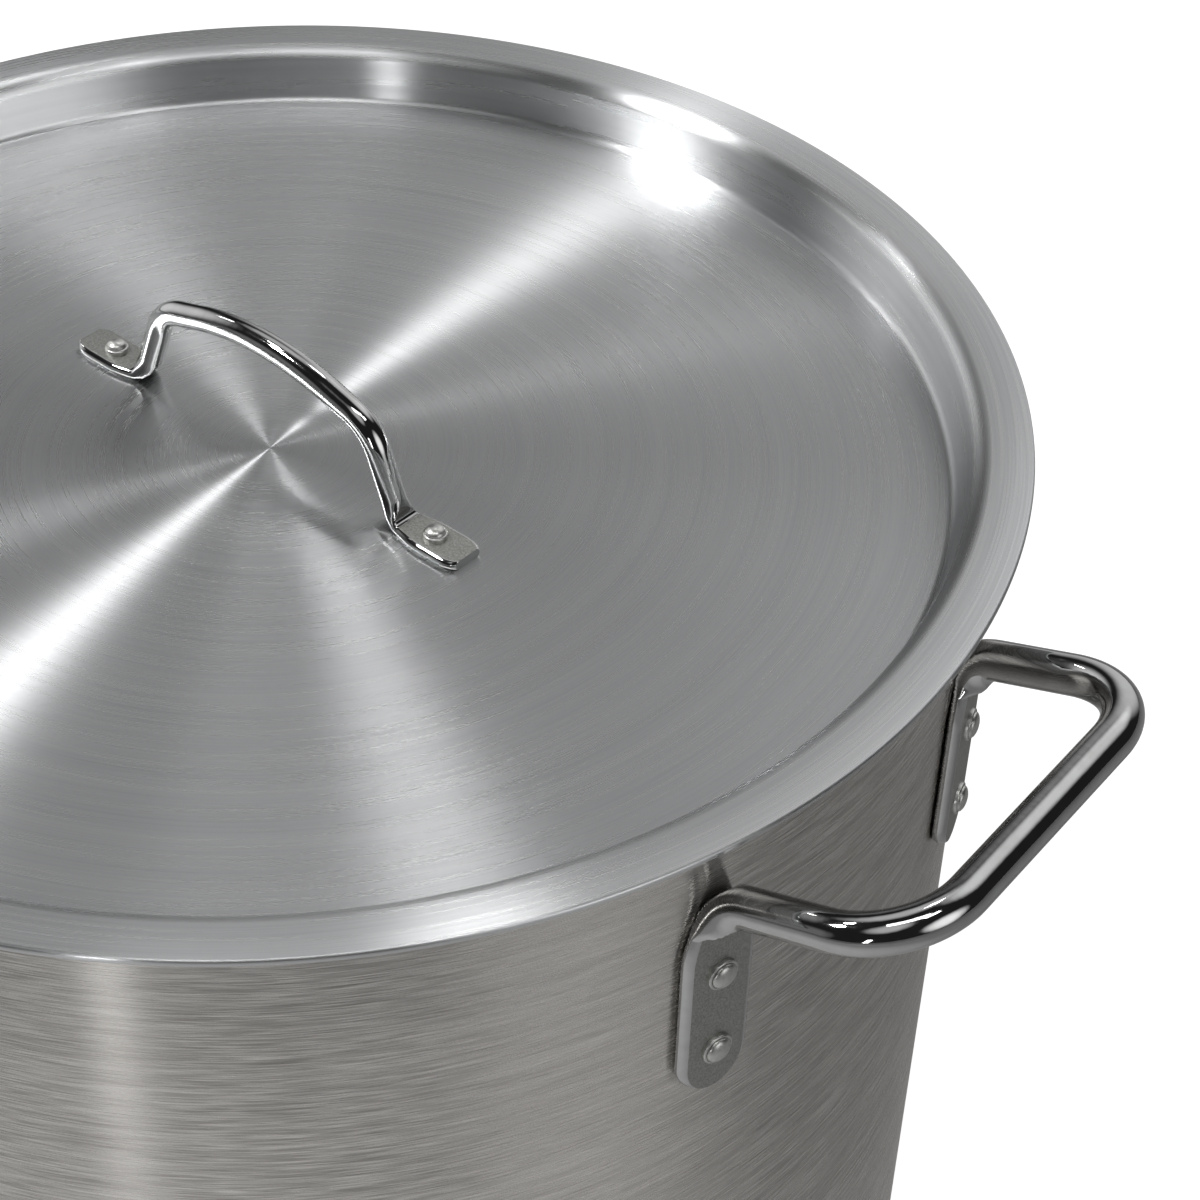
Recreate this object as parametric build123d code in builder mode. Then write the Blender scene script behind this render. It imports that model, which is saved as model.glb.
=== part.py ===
from build123d import *
import os
from math import asin, cos, degrees, radians, sin, tan

os.makedirs("parts", exist_ok=True)

# A commercial aluminium stock pot with a recessed lid, in millimetres.
# The origin is the centre of the base, +Z is up, and the loop handles stand on the X axis.

# Pot: a drawn shell with a straight wall and a plain rim
pot_radius = 220.0        # outside of the wall
pot_height = 390.0        # floor to the top of the rim
pot_wall = 3.0
base_thickness = 5.0
base_round = 18.0         # outside, between base and wall
rim_round = 0.8

# Lid: a spun disc whose middle is pressed down, so that it locates inside the pot
lid_overhang = 10.0       # from the pot's wall to the lid's edge
lid_sheet = 2.4
lid_edge_round = 0.9
recess_depth = 19.0       # flange top to panel top
recess_gap = 4.5          # inside of the pot to the corner of flange and recess wall
recess_draft = 11.5       # lean of the recess wall, in degrees
shoulder_round = 6.0      # top surface, flange to recess wall
panel_round = 3.0         # top surface, recess wall to panel

# Loop handles: a round rod with its ends flattened into feet
rod_diameter = 12.0
grip_reach = 50.0         # pot's wall to the grip's centre line
grip_drop = 9.0           # pot's rim down to the grip's centre line
arm_spacing = 124.0       # between the two arms' centre lines
arm_rise = 18.0           # slope of the arms, in degrees
grip_bend = 26.0
root_bend = 12.0
foot_width = 24.0
foot_thickness = 4.5
foot_end = 16.0           # lower rivet to the foot's lower end
foot_shoulder = 9.0       # height over which the foot narrows to the rod
bend_pinch = 1.0          # each side of the root bend, halfway round

# Rivets through the pot's wall, two in each foot
body_rivet_spacing = 30.0
body_rivet_drop = 53.0    # rim down to the upper rivet
body_shank = 6.0
body_head = 10.0
body_head_land = 1.3
body_dome = 8.4
body_dome_height = 1.7
body_tail = 9.0
body_tail_height = 1.6
rivet_clearance = 0.05    # all round a shank
tail_seat = 0.1           # flat tail to the hollow side of the wall
dome_round = 0.9          # share of a dome's height that its edge is rounded by
tail_round = 0.6          # share of a tail's height that its edge is rounded by

# Lid handle: a thinner rod, arched, with flattened feet
pull_rod = 8.0
pull_turn = -4.0          # the round lid rests a little off the loop handles' line, in degrees
pull_height = 43.0        # panel to the corner of the two top runs
pull_top_round = 98.0
pull_shoulder_reach = 44.5
pull_shoulder_height = 30.0
pull_shoulder_round = 16.0
pull_neck_reach = 55.5    # handle's middle to where the neck meets the foot
pull_foot_length = 32.0
pull_foot_width = 14.0
pull_foot_corner = 4.2
pull_foot_thickness = 3.5
pull_rivet_reach = 70.0   # handle's middle to a rivet

# Rivets through the lid, one in each foot
lid_shank = 5.0
lid_head = 7.6
lid_head_land = 1.4
lid_dome_height = 2.2
lid_tail = 8.0
lid_tail_height = 1.5

# Cutting tools start and end this far outside the metal
cut_margin = 1.0
same_radius = 0.01        # two circles closer than this count as one

# Worked out from the sizes above
pot_inside = pot_radius - pot_wall
lid_radius = pot_radius + lid_overhang
flange_top = pot_height + lid_sheet
panel_top = flange_top - recess_depth
recess_top_radius = pot_inside - recess_gap
recess_base_radius = recess_top_radius - recess_depth * tan(radians(recess_draft))
arm_offset = arm_spacing / 2
foot_axis_radius = pot_radius + foot_thickness / 2
foot_angle = degrees(asin(arm_offset / foot_axis_radius))
foot_face_radius = pot_radius + foot_thickness
grip_radius = pot_radius + grip_reach
grip_height = pot_height - grip_drop
root_radius = foot_axis_radius * cos(radians(foot_angle))
root_height = grip_height - (grip_radius - root_radius) * tan(radians(arm_rise))
root_tangent = root_bend * tan(radians(90 - arm_rise) / 2)
foot_top = root_height - root_tangent
upper_rivet = pot_height - body_rivet_drop
lower_rivet = upper_rivet - body_rivet_spacing
foot_bottom = lower_rivet - foot_end


def save(piece, label):
    """Name a finished piece and write it as its own STEP file."""
    piece.label = label
    export_step(piece, f"parts/{label}.step")


def wall_plane(angle, radius, height):
    """A plane that faces outward at an angle round the pot."""
    turn = radians(angle)
    return Plane(
        origin=(radius * cos(turn), radius * sin(turn), height),
        x_dir=(-sin(turn), cos(turn), 0),
        z_dir=(cos(turn), sin(turn), 0),
    )


foot_angles = {
    "right_back": foot_angle,
    "right_front": -foot_angle,
    "left_back": 180 - foot_angle,
    "left_front": 180 + foot_angle,
}
rivet_heights = {"upper": upper_rivet, "lower": lower_rivet}

# Pot body
with BuildPart() as pot_body:
    with BuildSketch(Plane.XZ):
        with BuildLine():
            Polyline(
                (0, 0),
                (pot_radius, 0),
                (pot_radius, pot_height),
                (pot_inside, pot_height),
                (pot_inside, base_thickness),
                (0, base_thickness),
                close=True,
            )
        shell = make_face()
        outer_corner = shell.vertices().group_by(Axis.X)[-1].sort_by(Axis.Z)[0]
        inner_corner = shell.vertices().group_by(Axis.X)[1].sort_by(Axis.Z)[0]
        fillet(outer_corner, radius=base_round)
        fillet(inner_corner, radius=base_round - pot_wall)
    revolve(axis=Axis.Z)
    fillet(pot_body.edges().group_by(Axis.Z)[-1], radius=rim_round)
    for angle in foot_angles.values():
        for height in rivet_heights.values():
            with Locations(wall_plane(angle, pot_radius + cut_margin, height)):
                Hole(radius=body_shank / 2 + rivet_clearance, depth=pot_wall + 2 * cut_margin)
save(pot_body.part, "pot_body")

# Right loop handle: one half is made and mirrored across the XZ plane
arm_direction = Vector(cos(radians(arm_rise)), 0, sin(radians(arm_rise)))
root_corner = Vector(root_radius, arm_offset, root_height)
arm_start = root_corner + arm_direction * root_tangent
foot_start = Vector(root_radius, arm_offset, foot_top)
foot_side = Vector(-sin(radians(foot_angle)), cos(radians(foot_angle)), 0)
rod_radius = rod_diameter / 2
middle_rise = (90 + arm_rise) / 2
bend_centre = foot_start + Vector(root_bend, 0, 0)
middle_direction = Vector(cos(radians(middle_rise)), 0, sin(radians(middle_rise)))
middle_normal = Vector(-sin(radians(middle_rise)), 0, cos(radians(middle_rise)))
bend_middle = bend_centre + middle_normal * root_bend
middle_width = (rod_diameter + foot_width) / 2
middle_thickness = (rod_diameter + foot_thickness) / 2
neck_width = foot_width - foot_shoulder / 2

with BuildPart() as loop_handle_right:
    with BuildLine() as rod_line:
        FilletPolyline(
            arm_start,
            (grip_radius, arm_offset, grip_height),
            (grip_radius, 0, grip_height),
            radius=grip_bend,
        )
    with BuildSketch(Plane(origin=arm_start, x_dir=(0, 1, 0), z_dir=arm_direction)):
        Circle(rod_radius)
    sweep(path=rod_line.line)
    # The root bend: round at the arm, flat at the foot
    with BuildSketch(Plane(origin=arm_start, x_dir=(0, 1, 0), z_dir=arm_direction)):
        Circle(rod_radius)
    with BuildSketch(Plane(origin=bend_middle, x_dir=(0, 1, 0), z_dir=middle_direction)):
        Ellipse(middle_width / 2 - bend_pinch, middle_thickness / 2)
    with BuildSketch(Plane(origin=foot_start, x_dir=foot_side, z_dir=(0, 0, 1))):
        Ellipse(neck_width / 2, foot_thickness / 2)
    loft()
    # The foot: a flat tongue with a half-round end, its back bedded to the round wall
    with BuildSketch(wall_plane(foot_angle, pot_radius - cut_margin, 0)):
        with BuildLine():
            half = foot_width / 2
            side_base = foot_bottom + half
            side_top = foot_top - foot_shoulder
            ThreePointArc((-half, side_base), (0, foot_bottom), (half, side_base))
            Polyline(
                (half, side_base),
                (half, side_top),
                (neck_width / 2, foot_top),
                (-neck_width / 2, foot_top),
                (-half, side_top),
                (-half, side_base),
            )
        make_face()
    extrude(amount=foot_thickness + cut_margin)
    Cylinder(radius=pot_radius, height=2 * pot_height, mode=Mode.SUBTRACT)
    for height in rivet_heights.values():
        with Locations(wall_plane(foot_angle, foot_face_radius + cut_margin, height)):
            Hole(radius=body_shank / 2 + rivet_clearance, depth=foot_thickness + 3 * cut_margin)
    mirror(about=Plane.XZ)
save(loop_handle_right.part, "loop_handle_right")

# Left loop handle: the same handle on the other side of the pot
with BuildPart() as loop_handle_left:
    mirror(loop_handle_right.part, about=Plane.YZ)
save(loop_handle_left.part, "loop_handle_left")


def make_rivet(seat, grip, shank, head, land, dome, dome_height, tail, tail_height, relief):
    """A solid rivet: land and dome on the seat, shank through the sheets, tail behind them."""
    with BuildPart() as rivet:
        with BuildSketch(seat):
            Circle(head / 2)
        extrude(amount=land)
        with BuildSketch(seat.offset(land)):
            Circle(dome / 2)
        extrude(amount=dome_height)
        top = rivet.faces().sort_by(Axis(seat.origin, seat.z_dir))[-1]
        fillet(top.edges(), radius=dome_height * dome_round)
        with BuildSketch(seat):
            Circle(shank / 2)
        extrude(amount=-(grip + relief))
        with BuildSketch(seat.offset(-(grip + relief))):
            Circle(tail / 2)
        extrude(amount=-tail_height)
        bottom = rivet.faces().sort_by(Axis(seat.origin, seat.z_dir))[0]
        fillet(bottom.edges(), radius=tail_height * tail_round)
    return rivet.part


# Body rivets, two in each of the four feet
for foot_name, angle in foot_angles.items():
    for height_name, height in rivet_heights.items():
        body_rivet = make_rivet(
            seat=wall_plane(angle, foot_face_radius, height),
            grip=foot_thickness + pot_wall,
            shank=body_shank,
            head=body_head,
            land=body_head_land,
            dome=body_dome,
            dome_height=body_dome_height,
            tail=body_tail,
            tail_height=body_tail_height,
            relief=tail_seat,
        )
        save(body_rivet, f"body_rivet_{foot_name}_{height_name}")

# Lid: the top line of the sheet, thickened downward
pull_direction = Vector(cos(radians(pull_turn)), sin(radians(pull_turn)), 0)
with BuildPart() as lid:
    with BuildSketch(Plane.XZ):
        with BuildLine():
            top_line = FilletPolyline(
                (0, panel_top),
                (recess_base_radius, panel_top),
                (recess_top_radius, flange_top),
                (lid_radius, flange_top),
                radius=[panel_round, shoulder_round],
            )
            offset(top_line, amount=lid_sheet, side=Side.RIGHT, closed=True)
        make_face()
    revolve(axis=Axis.Z)
    circles = lid.edges().filter_by(GeomType.CIRCLE)
    rim_edges = circles.filter_by(lambda edge: edge.radius > lid_radius - same_radius)
    fillet(rim_edges, radius=lid_edge_round)
    for side in (-1, 1):
        hole_place = pull_direction * (side * pull_rivet_reach)
        with Locations((hole_place.X, hole_place.Y, panel_top + cut_margin)):
            Hole(radius=lid_shank / 2 + rivet_clearance, depth=lid_sheet + 2 * cut_margin)
save(lid.part, "lid")

# Lid handle, in the upright plane through its two feet
pull_plane = Plane(
    origin=(0, 0, panel_top),
    x_dir=pull_direction,
    z_dir=(sin(radians(pull_turn)), -cos(radians(pull_turn)), 0),
)
pull_floor = Plane(origin=(0, 0, panel_top), x_dir=pull_direction, z_dir=(0, 0, 1))
neck_foot = pull_foot_thickness / 2
with BuildPart() as lid_handle:
    with BuildLine(pull_plane) as pull_line:
        FilletPolyline(
            (-pull_neck_reach, neck_foot),
            (-pull_shoulder_reach, pull_shoulder_height),
            (0, pull_height),
            (pull_shoulder_reach, pull_shoulder_height),
            (pull_neck_reach, neck_foot),
            radius=[pull_shoulder_round, pull_top_round, pull_shoulder_round],
        )
    with BuildSketch(Plane(origin=pull_line.line @ 0, z_dir=pull_line.line % 0)):
        Circle(pull_rod / 2)
    sweep(path=pull_line.line)
    with Locations(pull_floor):
        Box(
            2 * (pull_neck_reach + pull_rod),
            2 * pull_rod,
            pull_rod,
            align=(Align.CENTER, Align.CENTER, Align.MAX),
            mode=Mode.SUBTRACT,
        )
    with BuildSketch(pull_floor):
        for side in (-1, 1):
            foot_middle = side * (pull_neck_reach - neck_foot + pull_foot_length / 2)
            with Locations((foot_middle, 0)):
                RectangleRounded(pull_foot_length, pull_foot_width, pull_foot_corner)
    extrude(amount=pull_foot_thickness)
    for side in (-1, 1):
        hole_place = pull_direction * (side * pull_rivet_reach)
        with Locations((hole_place.X, hole_place.Y, panel_top + pull_foot_thickness + cut_margin)):
            Hole(radius=lid_shank / 2 + rivet_clearance, depth=pull_foot_thickness + 2 * cut_margin)
save(lid_handle.part, "lid_handle")

# Lid rivets, one in each foot of the lid handle
for rivet_name, side in {"left": -1, "right": 1}.items():
    place = pull_direction * (side * pull_rivet_reach)
    lid_rivet = make_rivet(
        seat=Plane(origin=(place.X, place.Y, panel_top + pull_foot_thickness), z_dir=(0, 0, 1)),
        grip=pull_foot_thickness + lid_sheet,
        shank=lid_shank,
        head=lid_head,
        land=lid_head_land,
        dome=lid_head,
        dome_height=lid_dome_height,
        tail=lid_tail,
        tail_height=lid_tail_height,
        relief=0,
    )
    save(lid_rivet, f"lid_rivet_{rivet_name}")
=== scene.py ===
# %% [markdown]
# # A stock pot in drawn and spun aluminium
#
# The object has three kinds of surface. The pot's wall is brushed round and round, the lid
# is spun on a lathe, and the handles are steel rod with bright plating. Each of them is a
# plain shape, so the lesson is about clean turned forms, a pressed rod end, and metal that
# catches the light along its grain.

# %% Load the frame
from collections import namedtuple
from math import atan2, cos, pi, radians, sin, sqrt, tan

import bmesh
import bpy
from mathutils import Matrix, Vector


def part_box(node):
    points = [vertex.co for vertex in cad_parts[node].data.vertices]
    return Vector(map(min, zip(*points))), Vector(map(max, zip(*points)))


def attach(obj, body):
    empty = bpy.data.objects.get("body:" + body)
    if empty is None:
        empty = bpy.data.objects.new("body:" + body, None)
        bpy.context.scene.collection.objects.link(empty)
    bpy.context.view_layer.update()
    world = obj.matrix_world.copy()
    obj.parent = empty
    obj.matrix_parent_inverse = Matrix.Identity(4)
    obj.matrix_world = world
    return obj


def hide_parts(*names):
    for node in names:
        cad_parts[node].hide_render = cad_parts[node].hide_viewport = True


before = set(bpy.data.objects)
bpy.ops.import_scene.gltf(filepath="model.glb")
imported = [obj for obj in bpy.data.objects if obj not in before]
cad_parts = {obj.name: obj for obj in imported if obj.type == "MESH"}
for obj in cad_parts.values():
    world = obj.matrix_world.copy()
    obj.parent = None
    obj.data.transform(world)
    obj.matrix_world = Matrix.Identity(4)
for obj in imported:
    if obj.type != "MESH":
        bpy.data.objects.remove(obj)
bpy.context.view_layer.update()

# %% [markdown]
# ## Sizes
#
# The frame gives the overall sizes, and the rest are the maker's own dimensions: sheet
# thicknesses, rod diameters, bends and rounds. A millimetre is written as MM, so that a
# size reads as it would on the drawing.

# %% Sizes from the frame and from the drawing
MM = 0.001

_, pot_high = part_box("pot_body")
_, lid_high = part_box("lid")
pot_radius = pot_high[0]
rim_height = pot_high[2]
lid_radius = lid_high[0]
flange_top = lid_high[2]

POT_WALL = 3 * MM
BASE_THICKNESS = 5 * MM
BASE_ROUND = 18 * MM
RIM_ROUND = 0.8 * MM

LID_SHEET = 2.4 * MM
LID_EDGE_ROUND = 0.9 * MM
RECESS_DEPTH = 19 * MM
RECESS_GAP = 4.5 * MM
RECESS_LEAN = radians(11.5)
SHOULDER_ROUND = 6 * MM
PANEL_ROUND = 3 * MM

panel_top = flange_top - RECESS_DEPTH
pot_inside = pot_radius - POT_WALL
recess_top_radius = pot_inside - RECESS_GAP
recess_base_radius = recess_top_radius - RECESS_DEPTH * tan(RECESS_LEAN)

ROUND_SIDES = 384
print("radii in mm: pot", round(pot_radius / MM), "and lid", round(lid_radius / MM))
print("the lid's panel is", round(panel_top / MM, 1), "mm above the table")

# %% [markdown]
# ## Helpers for modelling by selection
#
# An operator acts on whatever is selected. In the viewport the selection is made by
# clicking. Here short functions make one piece the only selected one, and pick its faces or
# edges by a test on where they are and which way they face, so the choice can be read and
# repeated.

# %% Selection helpers
# The least cosine between a face's normal and a direction that counts as facing that way.
FACING = 0.9


def only(piece):
    """Select this object and nothing else."""
    bpy.ops.object.select_all(action="DESELECT")
    piece.select_set(True)
    bpy.context.view_layer.objects.active = piece


def named(name):
    """Name the object that an operator has just added."""
    piece = bpy.context.object
    piece.name = name
    piece.data.name = name
    only(piece)
    return piece


def pick_faces(piece, test):
    """In edit mode, select the faces whose centre and normal pass the test."""
    bpy.ops.mesh.select_mode(type="FACE")
    bpy.ops.mesh.select_all(action="DESELECT")
    mesh = bmesh.from_edit_mesh(piece.data)
    for face in mesh.faces:
        face.select_set(test(face.calc_center_median(), face.normal))
    bmesh.update_edit_mesh(piece.data)


def pick_edges(piece, test):
    """In edit mode, select the edges both of whose ends pass the test."""
    bpy.ops.mesh.select_mode(type="EDGE")
    bpy.ops.mesh.select_all(action="DESELECT")
    mesh = bmesh.from_edit_mesh(piece.data)
    for edge in mesh.edges:
        edge.select_set(all(test(end.co) for end in edge.verts))
    bmesh.update_edit_mesh(piece.data)


def ring_at(radius, height, slack=0.05 * MM):
    """A test for points on the circle of one radius at one height."""
    def test(point):
        return abs(point.xy.length - radius) < slack and abs(point.z - height) < slack
    return test


def round_edge(piece, test, size, steps):
    """Bevel the picked edges into a round of some steps."""
    pick_edges(piece, test)
    bpy.ops.mesh.bevel(offset=size, segments=steps, affect="EDGES")


def round_rings(piece, rings):
    """Round the circles given by radius, height, size of the bevel and number of steps."""
    for radius, height, size, steps in rings:
        round_edge(piece, ring_at(radius, height), size, steps)


def shade(piece, angle=40):
    """Smooth shading that keeps edges sharper than the angle."""
    bpy.ops.object.mode_set(mode="OBJECT")
    only(piece)
    bpy.ops.object.shade_smooth_by_angle(angle=radians(angle))
    print(piece.name, len(piece.data.polygons), "faces")


# %% [markdown]
# ## The pot
#
# The real pot is drawn from one disc of sheet: a floor, a generous round at the bottom
# corner and a straight wall that ends in a plain rim. A revolved outline would do, but a
# cylinder shaped by hand is just as exact and shows every decision. Its top is inset by the
# wall's thickness, pushed down to the floor, and the corners are beveled last.

# %% Pot shell
CORNER_STEPS = 12
RIM_STEPS = 3

bpy.ops.object.select_all(action="DESELECT")
bpy.ops.mesh.primitive_cylinder_add(
    vertices=ROUND_SIDES, radius=pot_radius, depth=rim_height, location=(0, 0, rim_height / 2))
pot_shell = named("pot_shell")
bpy.ops.object.transform_apply()
bpy.ops.object.mode_set(mode="EDIT")
pick_faces(pot_shell, lambda centre, normal: normal.z > FACING)
bpy.ops.mesh.inset(thickness=POT_WALL)
bpy.ops.mesh.extrude_region_move(
    TRANSFORM_OT_translate={"value": (0, 0, BASE_THICKNESS - rim_height)})
round_rings(pot_shell, [
    (pot_radius, 0, BASE_ROUND, CORNER_STEPS),
    (pot_inside, BASE_THICKNESS, BASE_ROUND - POT_WALL, CORNER_STEPS),
    (pot_radius, rim_height, RIM_ROUND, RIM_STEPS),
    (pot_inside, rim_height, RIM_ROUND, RIM_STEPS)])
shade(pot_shell)

# %% [markdown]
# ## The lid
#
# The lid is spun: a flat disc whose middle is pressed down over a former, which leaves a
# flange that rests on the rim and a recess that keeps the lid from sliding off. It starts
# as a thin disc. The underside is pushed down first and the top after it, so the sheet
# keeps its thickness round both corners.


# %% Press a recess
def press_recess(piece, facing, outer, top_radius, depth, base_radius):
    """Inset one side of the disc and push it down into a tapered recess."""
    pick_faces(piece, lambda centre, normal: normal.z * facing > FACING)
    bpy.ops.mesh.inset(thickness=outer - top_radius)
    bpy.ops.mesh.extrude_region_move(TRANSFORM_OT_translate={"value": (0, 0, -depth)})
    shrink = base_radius / top_radius
    bpy.ops.transform.resize(value=(shrink, shrink, 1), center_override=(0, 0, 0))


# Where two straight faces meet at the recess, a bevel of this share of a round's radius
# makes that round. The same share shifts the underside's corners to keep the sheet even.
turn_share = tan((pi / 2 - RECESS_LEAN) / 2)
sheet_step = LID_SHEET * turn_share
print("the underside's corners are", round(sheet_step / MM, 2), "mm further out")

# %% Lid
SHOULDER_STEPS = 10
PANEL_STEPS = 6
UNDERSIDE_STEPS = 8
LID_EDGE_STEPS = 4

bpy.ops.object.select_all(action="DESELECT")
bpy.ops.mesh.primitive_cylinder_add(
    vertices=ROUND_SIDES, radius=lid_radius, depth=LID_SHEET,
    location=(0, 0, flange_top - LID_SHEET / 2))
lid_disc = named("lid_disc")
bpy.ops.object.transform_apply()
bpy.ops.object.mode_set(mode="EDIT")
under_top_radius = recess_top_radius + sheet_step
under_base_radius = recess_base_radius + sheet_step
press_recess(lid_disc, -1, lid_radius, under_top_radius, RECESS_DEPTH, under_base_radius)
press_recess(lid_disc, 1, lid_radius, recess_top_radius, RECESS_DEPTH, recess_base_radius)
round_rings(lid_disc, [
    (recess_top_radius, flange_top, SHOULDER_ROUND * turn_share, SHOULDER_STEPS),
    (recess_base_radius, panel_top, PANEL_ROUND * turn_share, PANEL_STEPS),
    (under_top_radius, flange_top - LID_SHEET, (SHOULDER_ROUND - LID_SHEET) * turn_share,
     UNDERSIDE_STEPS),
    (under_base_radius, panel_top - LID_SHEET, (PANEL_ROUND + LID_SHEET) * turn_share,
     UNDERSIDE_STEPS),
    (lid_radius, flange_top, LID_EDGE_ROUND, LID_EDGE_STEPS),
    (lid_radius, flange_top - LID_SHEET, LID_EDGE_ROUND, LID_EDGE_STEPS)])
shade(lid_disc)

# %% [markdown]
# ## Rod that ends in a pressed foot
#
# Both kinds of handle start as round rod. It is bent, and its ends are pressed flat in a
# die, which squeezes the round section out sideways into a wide, thin foot. A curve with a
# bevel can't do that, because its section never changes. So the rod is built as a row of
# rings that are bridged together: each ring is a circle that has been widened and pressed,
# and rings along the bend blend from the flat foot to the round rod. The path comes first:
# straight runs joined by arcs, so that a place on it follows from its distance alone.

# %% Path of a bent rod
# A straight run or an arc. A run has no inward direction, and its bend radius is 0.
Stretch = namedtuple("Stretch", "start direction length inward bend")


def bent_path(points, bends):
    """The runs and arcs that lead through the points, with one bend radius per corner."""
    path = []
    start = points[0]
    for corner, after, bend in zip(points[1:], points[2:], bends):
        coming = (corner - start).normalized()
        going = (after - corner).normalized()
        turn = coming.angle(going)
        cut = bend * tan(turn / 2)
        path.append(Stretch(start, coming, (corner - start).length - cut, None, 0))
        inward = (going - coming * coming.dot(going)).normalized()
        path.append(Stretch(corner - coming * cut, coming, bend * turn, inward, bend))
        start = corner + going * cut
    rest = points[-1] - start
    path.append(Stretch(start, rest.normalized(), rest.length, None, 0))
    return path


def place_on(path, distance):
    """Place and direction at a distance along a bent path."""
    for stretch in path:
        if distance <= stretch.length or stretch is path[-1]:
            break
        distance -= stretch.length
    start, direction, _, inward, bend = stretch
    if not bend:
        return start + direction * distance, direction
    turn = distance / bend
    place = start + direction * (bend * sin(turn)) + inward * (bend * (1 - cos(turn)))
    return place, direction * cos(turn) + inward * sin(turn)


def blend(low, high, share):
    """From low to high with a soft start and end."""
    share = min(max(share, 0), 1)
    return low + (high - low) * share * share * (3 - 2 * share)


# %% [markdown]
# ## Rings bridged into one skin
#
# Bridge Edge Loops joins rings that lie in order, and it works for any number of them at
# once. Each ring is a circle 1 across that is widened, pressed between two planes and set
# square to the path. The tip is closed with a face. A handle is the same on both sides, so
# half of it is bridged and a Mirror modifier adds the rest.

# %% Rings bridged into a rod
RING_SIDES = 48
END_SLACK = 0.01 * MM
WELD_DISTANCE = 0.05 * MM


def add_ring(place, direction, across, width, front, back, bulge):
    """A circle, widened and pressed to a front and a back face. Its back faces the seat."""
    bpy.ops.mesh.primitive_circle_add(vertices=RING_SIDES, radius=0.5)
    ring = bpy.context.object
    thickness = front + back
    for point in ring.data.vertices:
        point.co.x *= width
        pressed = max(-thickness / 2, min(thickness / 2, point.co.y * thickness * bulge))
        point.co.y = pressed + (back - front) / 2
    turned = Matrix((across, direction.cross(across), direction)).transposed().to_4x4()
    ring.matrix_world = Matrix.Translation(place) @ turned
    return ring


def bridge_rod(name, path, across, distances, section):
    """Lay rings along a path, bridge them in order and close the first end."""
    bpy.ops.object.select_all(action="DESELECT")
    rings = []
    before = place_on(path, distances[0])[1]
    for distance in distances:
        place, direction = place_on(path, distance)
        across = before.rotation_difference(direction) @ across
        before = direction
        rings.append(add_ring(place, direction, across, *section(distance)))
    for ring in rings:
        ring.select_set(True)
    bpy.context.view_layer.objects.active = rings[0]
    bpy.ops.object.join()
    rod = named(name)
    bpy.ops.object.transform_apply()
    bpy.ops.object.mode_set(mode="EDIT")
    bpy.ops.mesh.select_mode(type="EDGE")
    bpy.ops.mesh.select_all(action="SELECT")
    bpy.ops.mesh.bridge_edge_loops()
    first_place, first_direction = place_on(path, distances[0])
    pick_edges(rod, lambda point: abs((point - first_place).dot(first_direction)) < END_SLACK)
    bpy.ops.mesh.edge_face_add()
    bpy.ops.object.mode_set(mode="OBJECT")
    return rod


def mirror_rod(rod, axis):
    """Mirror the half across its open end, weld it and point every face outward."""
    only(rod)
    mirror = rod.modifiers.new("other_half", "MIRROR")
    mirror.use_axis = (axis == "X", axis == "Y", False)
    mirror.merge_threshold = WELD_DISTANCE
    bpy.ops.object.modifier_apply(modifier=mirror.name)
    bpy.ops.object.mode_set(mode="EDIT")
    bpy.ops.mesh.select_all(action="SELECT")
    bpy.ops.mesh.normals_make_consistent(inside=False)


# %% [markdown]
# ## The loop handles
#
# A 12 mm rod runs out from the wall, rises a little, and turns twice to make the grip. The
# feet stand flat against the wall 16 degrees either side of the handle's middle, so each
# foot is turned to face squarely outward while the arms stay parallel. Half a handle is
# laid out from the tip of a foot to the middle of the grip, and mirrored.

# %% Loop handle: sizes and path
ROD = 12 * MM
GRIP_REACH = 50 * MM
GRIP_DROP = 9 * MM
ARM_SPACING = 124 * MM
ARM_RISE = radians(18)
GRIP_BEND = 26 * MM
ROOT_BEND = 12 * MM
FOOT_WIDTH = 24 * MM
FOOT_THICKNESS = 4.5 * MM
FOOT_END = 16 * MM
RIVET_SPACING = 30 * MM
RIVET_DROP = 53 * MM
PRESSED_BULGE = 1.8

arm_offset = ARM_SPACING / 2
foot_axis_radius = pot_radius + FOOT_THICKNESS / 2
root_radius = sqrt(foot_axis_radius ** 2 - arm_offset ** 2)
foot_angle = atan2(arm_offset, root_radius)
grip_radius = pot_radius + GRIP_REACH
grip_height = rim_height - GRIP_DROP
root_height = grip_height - (grip_radius - root_radius) * tan(ARM_RISE)
upper_rivet = rim_height - RIVET_DROP
lower_rivet = upper_rivet - RIVET_SPACING
foot_bottom = lower_rivet - FOOT_END

root_turn = pi / 2 - ARM_RISE
foot_straight = root_height - foot_bottom - ROOT_BEND * tan(root_turn / 2)
bend_length = ROOT_BEND * root_turn
loop_path = bent_path(
    [Vector((root_radius, arm_offset, foot_bottom)),
     Vector((root_radius, arm_offset, root_height)),
     Vector((grip_radius, arm_offset, grip_height)),
     Vector((grip_radius, 0, grip_height))],
    [ROOT_BEND, GRIP_BEND])
loop_length = sum(stretch.length for stretch in loop_path)
print("half a loop handle is", round(loop_length / MM), "mm of rod")


# %% [markdown]
# ### How the foot grows into the rod
#
# A die leaves the front of the foot flat right up to a crisp shoulder, while the back and
# the width change slowly through the bend. So each ring gets its own width, front and back
# from its distance along the path, and rings stand closer together where the shoulder is.
# The left handle is a copy of the right one, turned half round inside its own mesh.

# %% Loop handle: section and rings
PRESS_LENGTH = 7 * MM
SHOULDER_START = 11 * MM
LOOP_RING_STEP = 1.5 * MM
PRESS_RING_STEP = 0.4 * MM
PRESS_RINGS = 12
TIP_RINGS = 12
HANDLE_SHADE_ANGLE = 25


def step_up(low, high, share):
    """From low to high with a crisp start and a soft end, as a die leaves it."""
    return low + (high - low) * sin(min(max(share, 0), 1) * pi / 2)


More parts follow.
